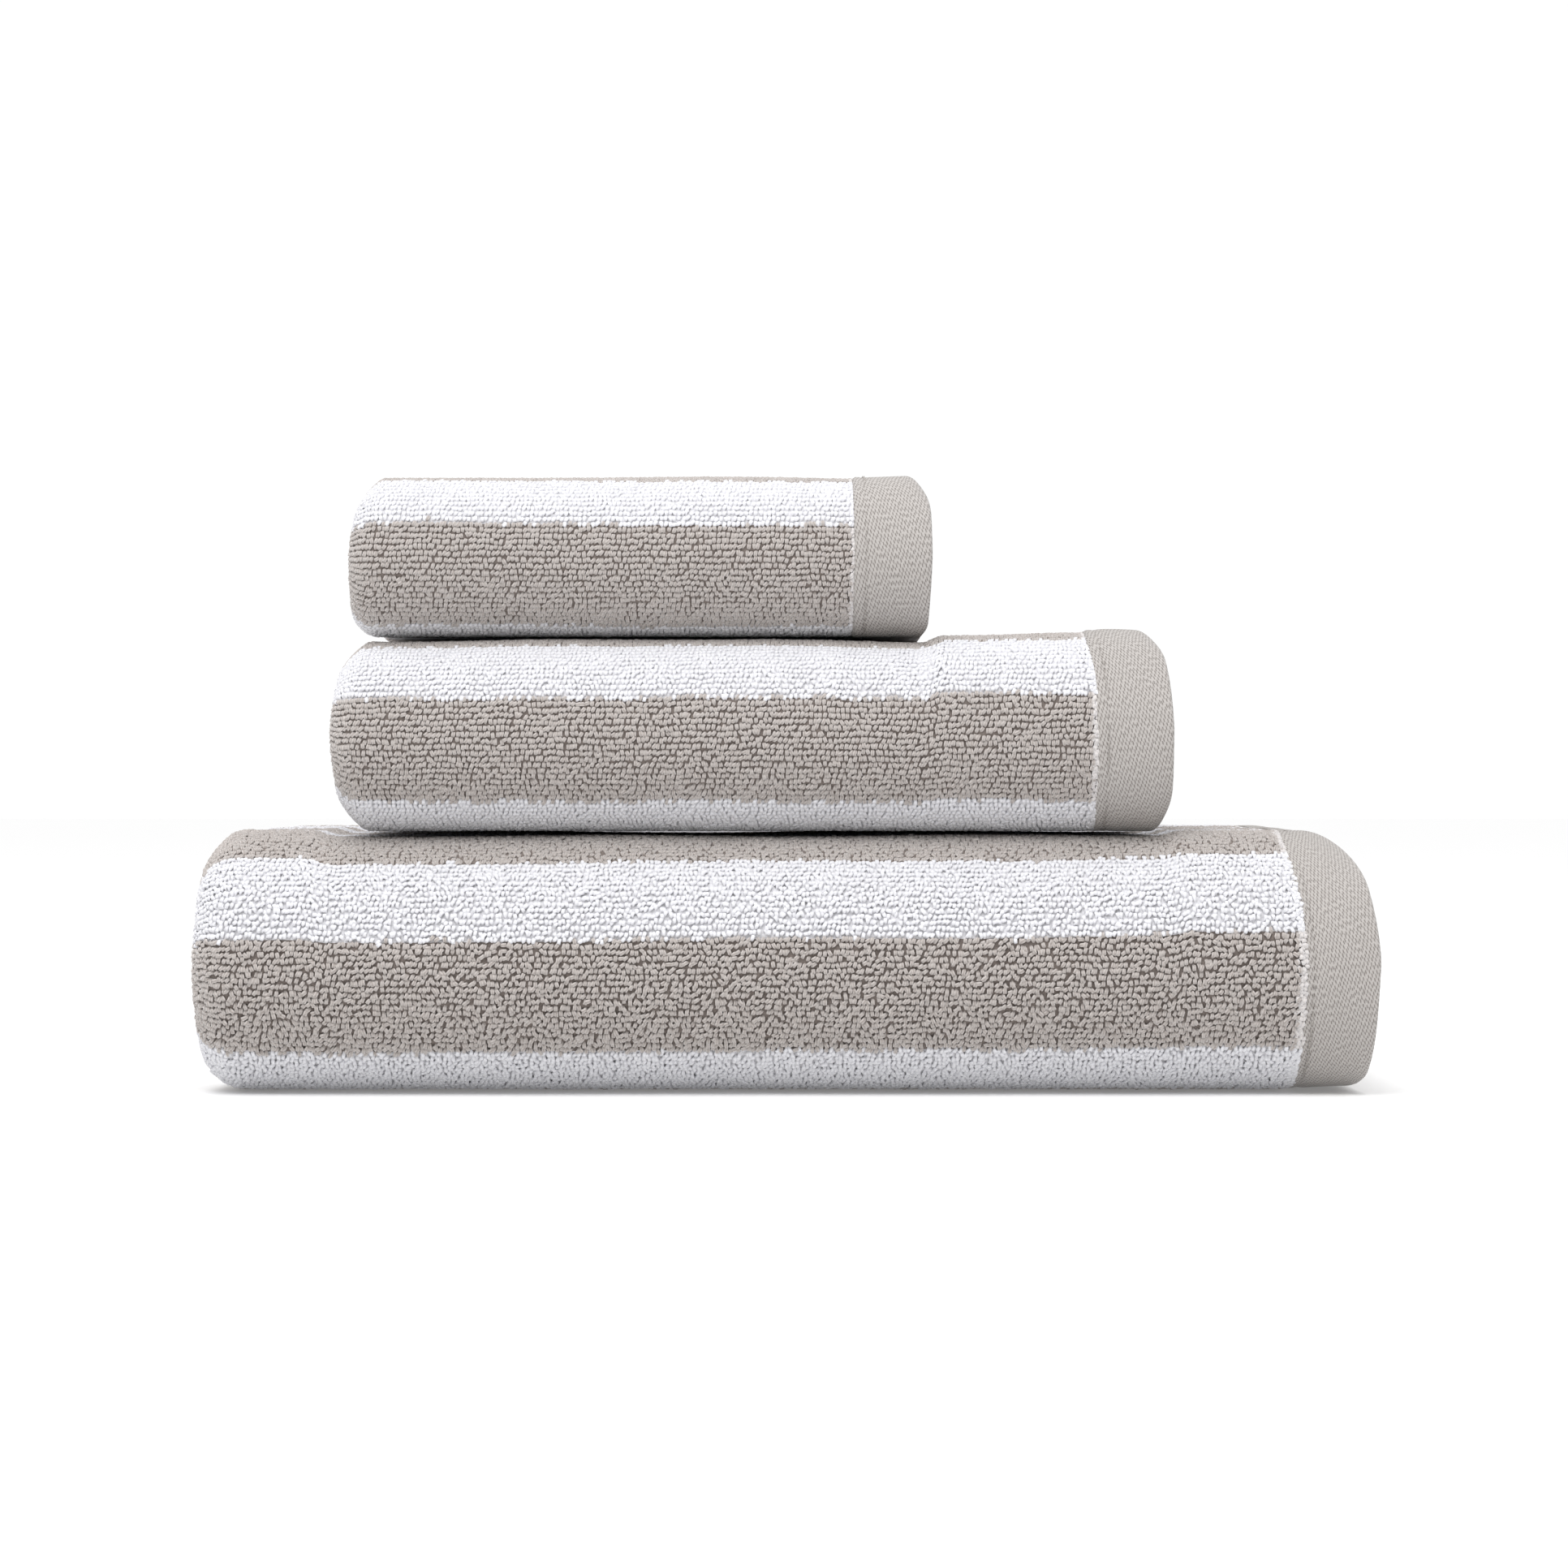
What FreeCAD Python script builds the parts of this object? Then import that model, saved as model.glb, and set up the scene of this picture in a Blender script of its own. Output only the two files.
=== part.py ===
import FreeCAD, Part

import math
import os

# A stack of three folded terry towels: a bath towel, a hand towel and a guest towel.
#
# Each towel is one sheet of terry with a flat-woven hem at both ends and a narrow hem on both
# long sides. It is folded in half twice along its length, which makes a pack of four layers with
# both end hems at the right. The pack is then folded in thirds across its width, with the smooth
# fold at the front and one third tucked between the other two, so a towel is twelve layers high.
#
# Millimetres. +X runs along the front fold towards the end hems, +Y to the back, +Z up.
# The origin is the middle of the face that the bath towel rests on.

# Driving dimensions: the cloth as it was cut, and the bundle that it folds to.
BATH_FLAT_WIDTH = 700.0
BATH_FOLDED_LENGTH = 350.0
BATH_HEIGHT = 77.0
HAND_FLAT_WIDTH = 500.0
HAND_FOLDED_LENGTH = 250.5
HAND_HEIGHT = 58.3
GUEST_FLAT_WIDTH = 400.0
GUEST_FOLDED_LENGTH = 174.5
GUEST_HEIGHT = 48.7

# Where the upper towels lie: the middle of each, and how far its front is behind the one below.
HAND_CENTRE_X = -9.7
HAND_SETBACK = 12.0
GUEST_CENTRE_X = -43.2
GUEST_SETBACK = 10.0
CLEARANCE_BETWEEN_TOWELS = 0.3

# Folding.
LAYERS_IN_PACK = 4
PANELS = 3
GAP_BETWEEN_LAYERS = 0.6
GAP_BETWEEN_PANELS = 0.6
TOP_EDGE_SETBACK = 3.0
TUCKED_EDGE_CLEARANCE = 1.0
LAYER_FOLD_SETBACK = 3.0

# Hems and their threads.
END_HEM_WIDTH = 22.0
END_HEM_THICKNESS = 2.6
INNER_END_HEM_SETBACK = 2.0
END_SEAM_INSET = 2.2
SIDE_HEM_WIDTH = 9.0
SIDE_SEAM_INSET = 6.5
THREAD_WIDTH = 0.8
THREAD_DEPTH = 0.5

PARTS_FOLDER = "parts"


def chain(points):
    """Straight edges from each point to the next."""
    return [Part.LineSegment(a, b).toShape() for a, b in zip(points, points[1:])]


def half_turn(start, end, bulge):
    """A half circle from start to end, whose middle lies on the side that bulge points to."""
    radius = start.distanceToPoint(end) / 2
    middle = (start + end) / 2 + bulge * radius
    return Part.Arc(start, middle, end).toShape()


def filled(edges):
    """The flat face that a closed ring of edges bounds."""
    return Part.Face(Part.Wire(Part.__sortEdges__(edges)))


class FoldedTowel:
    """One folded towel. A point of the pack is given by its x and its depth below the outside.
    With no place given, the towel stands centred on the origin."""

    def __init__(
        self, name, flat_width, folded_length, height, centre_x=0.0, front_y=None, base_z=0.0
    ):
        self.name = name
        self.height = height
        self.base_z = base_z
        self.pack = (height - (PANELS - 1) * GAP_BETWEEN_PANELS) / PANELS
        self.layer = (self.pack - (LAYERS_IN_PACK - 1) * GAP_BETWEEN_LAYERS) / LAYERS_IN_PACK
        self.pitch = self.layer + GAP_BETWEEN_LAYERS

        self.left_x = centre_x - folded_length / 2
        self.right_x = centre_x + folded_length / 2
        self.hem_x = self.right_x - END_HEM_WIDTH
        self.left_fold_x = self.left_x + self.pack / 2
        self.right_fold_x = self.right_x - LAYER_FOLD_SETBACK - (self.pitch + self.layer) / 2

        self.front_radius = height / 2
        self.back_radius = self.pack + GAP_BETWEEN_PANELS / 2
        self.depth = self.folded_depth(flat_width)
        self.front_y = -self.depth / 2 if front_y is None else front_y
        self.front_fold_y = self.front_y + self.front_radius
        self.back_fold_y = self.front_y + self.depth - self.back_radius
        self.top_edge_y = self.front_y + self.depth - TOP_EDGE_SETBACK
        self.tucked_edge_y = self.front_fold_y + TUCKED_EDGE_CLEARANCE

    def folded_depth(self, flat_width):
        """The bundle's depth, from the cloth's width measured along the middle of the pack."""
        middle_of_front_fold = math.pi * (self.front_radius - self.pack / 2)
        middle_of_back_fold = math.pi * (self.back_radius - self.pack / 2)
        straight = flat_width - middle_of_front_fold - middle_of_back_fold
        taken_by_folds = PANELS * self.front_radius + 2 * self.back_radius
        set_back = TOP_EDGE_SETBACK + TUCKED_EDGE_CLEARANCE
        return (straight + taken_by_folds + set_back) / PANELS

    def layer_depth(self, number):
        """How deep the middle of a layer lies below the outside. Layer 1 is the outermost."""
        return self.layer / 2 + (number - 1) * self.pitch

    def point(self, x, depth):
        """A point of the pack's profile where the top panel ends at the back."""
        return FreeCAD.Vector(x, self.top_edge_y, self.base_z + self.height - depth)

    def cloth_line(self, offset):
        """The cloth's course through the pack, from one end hem to the other, shifted towards
        the side of the cloth that shows on the outside of the bundle."""
        first = self.layer_depth(1) - offset
        second = self.layer_depth(2) + offset
        third = self.layer_depth(3) - offset
        fourth = self.layer_depth(4) + offset
        left = FreeCAD.Vector(-1, 0, 0)
        right = FreeCAD.Vector(1, 0, 0)
        start = self.point(self.hem_x, first)
        outer_fold = (self.point(self.left_fold_x, first), self.point(self.left_fold_x, fourth))
        right_fold = (self.point(self.right_fold_x, fourth), self.point(self.right_fold_x, third))
        inner_fold = (self.point(self.left_fold_x, third), self.point(self.left_fold_x, second))
        end = self.point(self.hem_x, second)
        edges = chain([start, outer_fold[0]])
        edges.append(half_turn(*outer_fold, left))
        edges += chain([outer_fold[1], right_fold[0]])
        edges.append(half_turn(*right_fold, right))
        edges += chain([right_fold[1], inner_fold[0]])
        edges.append(half_turn(*inner_fold, left))
        edges += chain([inner_fold[1], end])
        return edges, start, end

    def cloth_profile(self, low, high):
        """The cloth between two shifts from its middle, cut across."""
        low_edges, low_start, low_end = self.cloth_line(low)
        high_edges, high_start, high_end = self.cloth_line(high)
        ends = chain([low_start, high_start]) + chain([low_end, high_end])
        return filled(low_edges + high_edges + ends)

    def end_hem_profiles(self, layer_number, setback):
        """An end hem cut across, with a rounded edge and a groove, and the thread in the groove."""
        outside = self.layer_depth(layer_number) - END_HEM_THICKNESS / 2
        inside = outside + END_HEM_THICKNESS
        groove = outside + THREAD_DEPTH
        seam_x = self.hem_x + END_SEAM_INSET
        seam_end_x = seam_x + THREAD_WIDTH
        edge_x = self.right_x - setback - END_HEM_THICKNESS / 2
        seam = [
            self.point(seam_x, outside),
            self.point(seam_x, groove),
            self.point(seam_end_x, groove),
            self.point(seam_end_x, outside),
        ]
        outer_edge = self.point(edge_x, outside)
        inner_edge = self.point(edge_x, inside)
        inner_start = self.point(self.hem_x, inside)
        outer_start = self.point(self.hem_x, outside)
        rounded_edge = half_turn(outer_edge, inner_edge, FreeCAD.Vector(1, 0, 0))
        sides = chain([inner_edge, inner_start, outer_start] + seam + [outer_edge])
        return filled(sides + [rounded_edge]), filled(chain(seam + seam[:1]))

    def carried_round(self, profile, trim):
        """Carries a profile of the pack along the fold in thirds: over the top panel, round the
        front, back along the bottom, round the back and forward along the tucked panel. Trim is
        how far it stops short of both long edges of the cloth."""
        along_x = FreeCAD.Vector(1, 0, 0)
        face = profile.translated(FreeCAD.Vector(0, -trim, 0))
        front_axis = FreeCAD.Vector(0, self.front_fold_y, self.base_z + self.front_radius)
        back_axis = FreeCAD.Vector(0, self.back_fold_y, self.base_z + self.back_radius)
        runs = (
            self.front_fold_y - (self.top_edge_y - trim),
            self.back_fold_y - self.front_fold_y,
            self.tucked_edge_y + trim - self.back_fold_y,
        )
        pieces = []
        for run, fold_axis in zip(runs, (front_axis, back_axis, None)):
            step = FreeCAD.Vector(0, run, 0)
            pieces.append(face.extrude(step))
            face = face.translated(step)
            if fold_axis:
                pieces.append(face.revolve(fold_axis, along_x, 180))
                face = face.rotated(fold_axis, along_x, 180)
        return pieces[0].multiFuse(pieces[1:]).removeSplitter()

    def terry_cloth(self):
        """The folded terry between its hems."""
        profile = self.cloth_profile(-self.layer / 2, self.layer / 2)
        return self.carried_round(profile, SIDE_HEM_WIDTH)

    def end_hem(self, layer_number, setback):
        """One flat-woven end hem and the thread that sews it down, round the whole bundle."""
        hem, thread = self.end_hem_profiles(layer_number, setback)
        return self.carried_round(hem, 0), self.carried_round(thread, 0)

    def top_side_hem(self):
        """The hem and its thread on the long edge that ends on top, at the back."""
        across = FreeCAD.Vector(0, -SIDE_HEM_WIDTH, 0)
        hem = self.cloth_profile(-self.layer / 2, self.layer / 2).extrude(across)
        seam = self.cloth_profile(self.layer / 2 - THREAD_DEPTH, self.layer / 2)
        seam = seam.translated(FreeCAD.Vector(0, -SIDE_SEAM_INSET, 0))
        thread = seam.extrude(FreeCAD.Vector(0, -THREAD_WIDTH, 0))
        return hem.cut(thread), thread

    def tucked_side_hem(self):
        """The hem and its thread on the long edge that is tucked inside the front fold."""
        halfway = FreeCAD.Vector(0, (self.top_edge_y + self.tucked_edge_y) / 2, 0)
        one_panel_down = FreeCAD.Vector(0, 0, -self.pack - GAP_BETWEEN_PANELS)
        mirrored = [shape.mirror(halfway, FreeCAD.Vector(0, 1, 0)) for shape in self.top_side_hem()]
        return [shape.translated(one_panel_down) for shape in mirrored]

    def pieces(self):
        """Every piece of the towel by name."""
        outer_hem, outer_thread = self.end_hem(1, 0)
        inner_hem, inner_thread = self.end_hem(2, INNER_END_HEM_SETBACK)
        top_hem, top_thread = self.top_side_hem()
        tucked_hem, tucked_thread = self.tucked_side_hem()
        return {
            "terry_cloth": self.terry_cloth(),
            "outer_end_hem": outer_hem,
            "inner_end_hem": inner_hem,
            "outer_end_thread": outer_thread,
            "inner_end_thread": inner_thread,
            "top_side_hem": top_hem,
            "tucked_side_hem": tucked_hem,
            "top_side_thread": top_thread,
            "tucked_side_thread": tucked_thread,
        }


def stacked_towels():
    """The three towels, each one above and behind the front of the one below."""
    bath = FoldedTowel("bath", BATH_FLAT_WIDTH, BATH_FOLDED_LENGTH, BATH_HEIGHT)
    hand = FoldedTowel(
        "hand",
        HAND_FLAT_WIDTH,
        HAND_FOLDED_LENGTH,
        HAND_HEIGHT,
        HAND_CENTRE_X,
        bath.front_y + HAND_SETBACK,
        bath.base_z + bath.height + CLEARANCE_BETWEEN_TOWELS,
    )
    guest = FoldedTowel(
        "guest",
        GUEST_FLAT_WIDTH,
        GUEST_FOLDED_LENGTH,
        GUEST_HEIGHT,
        GUEST_CENTRE_X,
        hand.front_y + GUEST_SETBACK,
        hand.base_z + hand.height + CLEARANCE_BETWEEN_TOWELS,
    )
    return bath, hand, guest


os.makedirs(PARTS_FOLDER, exist_ok=True)
for towel in stacked_towels():
    for piece, shape in towel.pieces().items():
        shape.exportStep(os.path.join(PARTS_FOLDER, f"{towel.name}_{piece}.step"))
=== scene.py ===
import math

import bpy
import numpy as np
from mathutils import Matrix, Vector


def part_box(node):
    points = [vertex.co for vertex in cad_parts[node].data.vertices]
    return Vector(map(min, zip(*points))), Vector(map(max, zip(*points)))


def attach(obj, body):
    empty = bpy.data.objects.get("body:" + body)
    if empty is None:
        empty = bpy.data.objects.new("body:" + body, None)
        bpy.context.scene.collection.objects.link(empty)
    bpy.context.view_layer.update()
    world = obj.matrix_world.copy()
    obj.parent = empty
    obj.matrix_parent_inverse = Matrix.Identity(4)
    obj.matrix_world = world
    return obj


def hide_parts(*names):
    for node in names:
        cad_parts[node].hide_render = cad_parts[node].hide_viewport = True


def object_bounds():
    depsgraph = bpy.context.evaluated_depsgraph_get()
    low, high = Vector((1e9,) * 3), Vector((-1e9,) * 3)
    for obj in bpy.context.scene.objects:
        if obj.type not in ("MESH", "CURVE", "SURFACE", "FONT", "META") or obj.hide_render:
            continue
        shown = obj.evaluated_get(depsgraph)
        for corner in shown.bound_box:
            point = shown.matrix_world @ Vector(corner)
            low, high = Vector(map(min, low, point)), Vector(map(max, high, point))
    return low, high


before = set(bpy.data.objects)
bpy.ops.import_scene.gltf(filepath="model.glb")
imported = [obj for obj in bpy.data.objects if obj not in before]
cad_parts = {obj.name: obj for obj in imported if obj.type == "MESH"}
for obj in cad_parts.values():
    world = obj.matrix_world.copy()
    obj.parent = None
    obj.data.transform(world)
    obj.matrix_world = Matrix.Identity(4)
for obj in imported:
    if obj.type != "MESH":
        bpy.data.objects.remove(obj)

# Looks of the three folded terry towels. Metres, in the frame of the CAD model.
#
# A place on a towel's cloth is (u, w, lift): u runs along the cloth's length from the outer end
# hem, through the four layers of the pack; w runs across the cloth from the edge that lies on
# top, measured along the outside of the bundle; lift is how far it stands out of the middle of
# the cloth, towards the side that shows. The terry, the side hems and their stitches and the
# loops are made in those terms. The end hems and their stitches use x and the depth into the pack
# instead of u and lift. All of them then follow the same folds, so they meet.

CAD_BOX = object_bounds()
SEED = 20240

# Stripes, woven along the cloth: (width of the grey, width of the white, how far above the
# middle of the front the grey begins, how much the stripe runs off the line of the fold).
STRIPES = {
    "bath": (0.0367, 0.0285, 0.0080, 0.009),
    "hand": (0.0340, 0.0243, 0.0112, 0.0),
    "guest": (0.0362, 0.0212, 0.0092, -0.005),
}

# Corners of a bundle where the cloth is rounded off: (reach along x, reach along z).
CORNERS = {
    "bath": {
        "top_right": (0.0150, 0.0170),
        "bottom_right": (0.0045, 0.0055),
        "top_left": (0.0092, 0.0122),
        "bottom_left": (0.0068, 0.0058),
    },
    "hand": {
        "top_right": (0.0060, 0.0090),
        "bottom_right": (0.0055, 0.0120),
        "top_left": (0.0095, 0.0130),
        "bottom_left": (0.0070, 0.0120),
    },
    "guest": {
        "top_right": (0.0068, 0.0130),
        "bottom_right": (0.0030, 0.0040),
        "top_left": (0.0080, 0.0120),
        "bottom_left": (0.0040, 0.0040),
    },
}

# How far the ends of a bundle draw in towards its top and bottom: (top, bottom) at each end.
DRAWN_IN = {
    "bath": {"right": (0.0068, 0.0026), "left": (0.0020, 0.0012)},
    "hand": {"right": (0.0038, 0.0006), "left": (0.0030, 0.0026)},
    "guest": {"right": (0.0010, 0.0012), "left": (0.0036, 0.0002)},
}
DRAWN_IN_CURVE = 1.3

# How far a bundle swells up where no other towel weighs on it, and over what distance.
SWELL = {"bath": 0.0016, "hand": 0.0022, "guest": 0.0}
SWELL_DISTANCE = 0.007

# Unevenness of a bundle's faces up, to the back and out at its ends: (how much, how long its
# bumps are).
UNEVEN_UP = (0.0004, 0.09)
UNEVEN_BACK = (0.0005, 0.07)
UNEVEN_OUT = (0.0007, 0.05)

# Cloth that would pass the floor or the next towel is pressed back: it keeps this share of how
# far it would go past, beyond a small gap. The next towel presses from a little inside its edges.
PRESSED_SHARE = 0.12
FLOOR_CLEARANCE = 0.0002
TOWEL_CLEARANCE = 0.0001
PRESSED_FROM_LEFT = 0.004
PRESSED_FROM_RIGHT = 0.002
PRESSED_FROM_FRONT = 0.012

# Pile: how high the loops stand, and how unruly they are.
PILE = {"bath": (0.0015, 1.15), "hand": (0.0013, 0.85), "guest": (0.0012, 0.75)}
LOOP_PITCH = 0.00134
ROW_PITCH = 0.00188
LOOP_HALF_WIDTH = 0.00063
# Points round a length of yarn, in degrees from the middle of its closed side. The side opposite
# is left open: underneath on the loops, and outwards on the stitches.
YARN_ANGLES = (-120, -60, 0, 60, 120)
# The two sides of a loop lie against each other: how deep the groove between them is, as a
# share of the loop's half width.
GROOVE = 0.35
# One loop, from the foot under the row before it to the foot it droops over: how far along w
# each point of its yarn is, how high it stands as a share of the pile, and how thick it is.
LOOP_REACH = (-0.00100, -0.00038, 0.00042, 0.00095)
LOOP_RISE = (0.05, 0.90, 1.00, 0.22)
LOOP_THICKNESS = (0.48, 1.00, 1.00, 0.34)
# Painted shade in the opening between the two sides of a loop: how far its colour goes, from 0 as
# its yarn to 1 as its root shade.
OPENING_SHADE = 0.95
LOOPS_IN_A_PIECE = 8000
# How far a loop's foot strays, as a share of the pitch.
FOOT_JITTER = 0.12
# How a loop is turned, in radians: all of them, each one, and in swirls of this length.
LOOP_SLANT = -0.25
LOOP_TURN = 0.36
LOOP_SWIRL = 0.32
SWIRL_LENGTH = 0.012
# How much the loops' sizes differ, and how far they lean: each one, and in swirls.
LOOP_SIZES = 0.10
LOOP_LEAN = 0.00017
LEAN_SWIRL = 0.00030
LEAN_LENGTH = 0.014
TIP_CURVE = 1.5
# Loops reach this far past the folds, towards the underside and the inside of the bundle.
PILE_PAST_FOLD = 0.010
# How much lower the pile lies on top, and how that fades down the front: (start, slope) of its
# share over the fold's turn in radians.
FLATTENED = 0.35
TOP_FADE = (1.6, 1.5)
# How ragged the edges of the stripes are: (how far they wander, how long the waves are), and how
# far each loop strays.
STRIPE_WANDER = (0.0006, 0.05)
STRIPE_JITTER = 0.0004
# Where the pile starts beside the end band, and the small loops that cover the cloth's edge there:
# their columns along u, how close they follow each other, how far they stray, and their size.
EDGE_ROW = 0.0016
FRINGE_COLUMNS = (0.0000, 0.0008, 0.0016)
FRINGE_PITCH = 0.8 * LOOP_PITCH
FRINGE_JITTER = 0.00025
FRINGE_SIZE = 0.85
# How far inside the layer's surface the cloth stays where it isn't lowered to make room for
# loops, and the distance over which the one changes to the other.
FUZZ = 0.0004
GROUND_FADE = 0.006

# End hems: how far they stand out beyond the CAD's, how far they run in under the terry and dip
# there, their ripple (how much, how long), and the groove under their stitches: how far from the
# terry, how deep and how wide.
HEM_RAISED = 0.0007
HEM_OVERLAP = 0.0012
HEM_TUCK = 0.0008
HEM_RIPPLE = (0.00025, 0.03)
SEAM_INSET = 0.0026
SEAM_DEPTH = 0.0003
SEAM_WIDTH = 0.0007
# Side hems: how far their faces sink below the layer's, how far they run in under the terry, and
# the groove under their stitches: how far from the edge, how deep and how wide.
SIDE_SINK = 0.0007
SIDE_OVERLAP = 0.0003
SIDE_SEAM_INSET = 0.0068
SIDE_SEAM_DEPTH = 0.0004
SIDE_SEAM_WIDTH = 0.0008
# First and last turn of a hem's rounded edge, in radians.
HEM_EDGE_TURN = (0.2, 1.45)
HEM_EDGE_STEPS = 5

# Stitches: the shape of one, along it and out of the cloth, and how they follow each other.
STITCH_LENGTH = 0.0024
STITCH_PITCH = 0.0029
STITCH_RADIUS = 0.00028
STITCH_START = 0.002
STITCH_ALONG = (0.0, 0.12, 0.5, 0.88, 1.0)
STITCH_LIFT = (-0.0004, 0.0001, 0.00022, 0.0001, -0.0004)

# Weave of the flat hems: its floats' spacing, length, offset and lean, and how they stray.
FLOAT_PITCH = 0.00055
FLOAT_LENGTH = 0.0023
FLOAT_STAGGER = 0.5
FLOAT_SLANT = -0.26
FLOAT_WOBBLE = 0.5
FLOAT_VARIETY = 7.31
FLOAT_DRIFT = 150.0
SLIT_SHARPNESS = 1.3
SLIT_GAP = 0.16
SLIT_STEEPNESS = 5.0
THREAD_TWIST = 9000.0

# Mesh steps on the cloth.
STRAIGHT_STEP = 0.0055
BENT_STEP_SHARE = 0.55
FOLD_STEPS = 14

# Camera: level, in front of the bundle, looking at the middle of the stack.
CAMERA_DISTANCE = 1.5
CAMERA_HEIGHT = 0.0917
FRAME_WIDTH = 0.4585
SENSOR_WIDTH = 36.0

# Colours, linear. The root and ground colours are painted shade: the loops' yarn darkens towards
# the root colours at its roots and in its opening, and the cloth between the loops has the
# ground colours.
WHITE_TIP = (0.77, 0.77, 0.805)
WHITE_ROOT_SHADE = (0.70, 0.695, 0.72)
WHITE_GROUND_SHADE = (0.68, 0.675, 0.70)
GREY_TIP = (0.65, 0.606, 0.580)
GREY_ROOT_SHADE = (0.26, 0.222, 0.203)
GREY_GROUND_SHADE = (0.15, 0.127, 0.115)
BAND_LIGHT = (0.43, 0.406, 0.388)
# Painted shade in the weave's slits, and the darkest end of its uneven tone.
BAND_DARK = (0.15, 0.130, 0.118)
THREAD_COLOUR = (0.52, 0.49, 0.46)
FLOOR_COLOUR = (0.80, 0.80, 0.80)
FLOOR_GLOW = 0.16

# Stage: the floor, the white surround as it lights from the sides and from above, the backdrop as
# the camera sees it, and the softboxes: (place, size, power).
FLOOR_SIZE = 24
FLOOR_GAP = 0.0004
SURROUND = 0.22
CEILING = 1.45
BACKDROP = 1.02
SOFTBOXES = {
    "overhead": ((-0.3, -0.4, 1.6), 1.0, 4),
    "front": ((-0.3, -1.7, 2.15), 1.6, 39),
}
LIT_POINT = (0, 0, 0.08)


def rounded_corner(along, across, corner, reach):
    """Rounds off one square corner: places near it are drawn in, most of all the corner itself.
    Corner is (along, across), and reach is how far the rounding runs back, with its sign."""
    a = np.clip((along - corner[0]) / reach[0] + 1, 0, 1)
    b = np.clip((across - corner[1]) / reach[1] + 1, 0, 1)
    new_along = along + reach[0] * a * (np.sqrt(1 - b * b / 2) - 1)
    new_across = across + reach[1] * b * (np.sqrt(1 - a * a / 2) - 1)
    return new_along, new_across


def waves(x, y, length, seed):
    """A smooth uneven surface between about -1 and 1, with bumps about this length apart."""
    rng = np.random.default_rng(seed)
    total = np.zeros(np.broadcast(x, y).shape)
    for _ in range(6):
        angle = rng.uniform(0, math.tau)
        pace = math.tau / (length * rng.uniform(0.7, 1.6))
        phase = rng.uniform(0, math.tau)
        total += np.sin((x * math.cos(angle) + y * math.sin(angle)) * pace + phase)
    return total / 3


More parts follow.
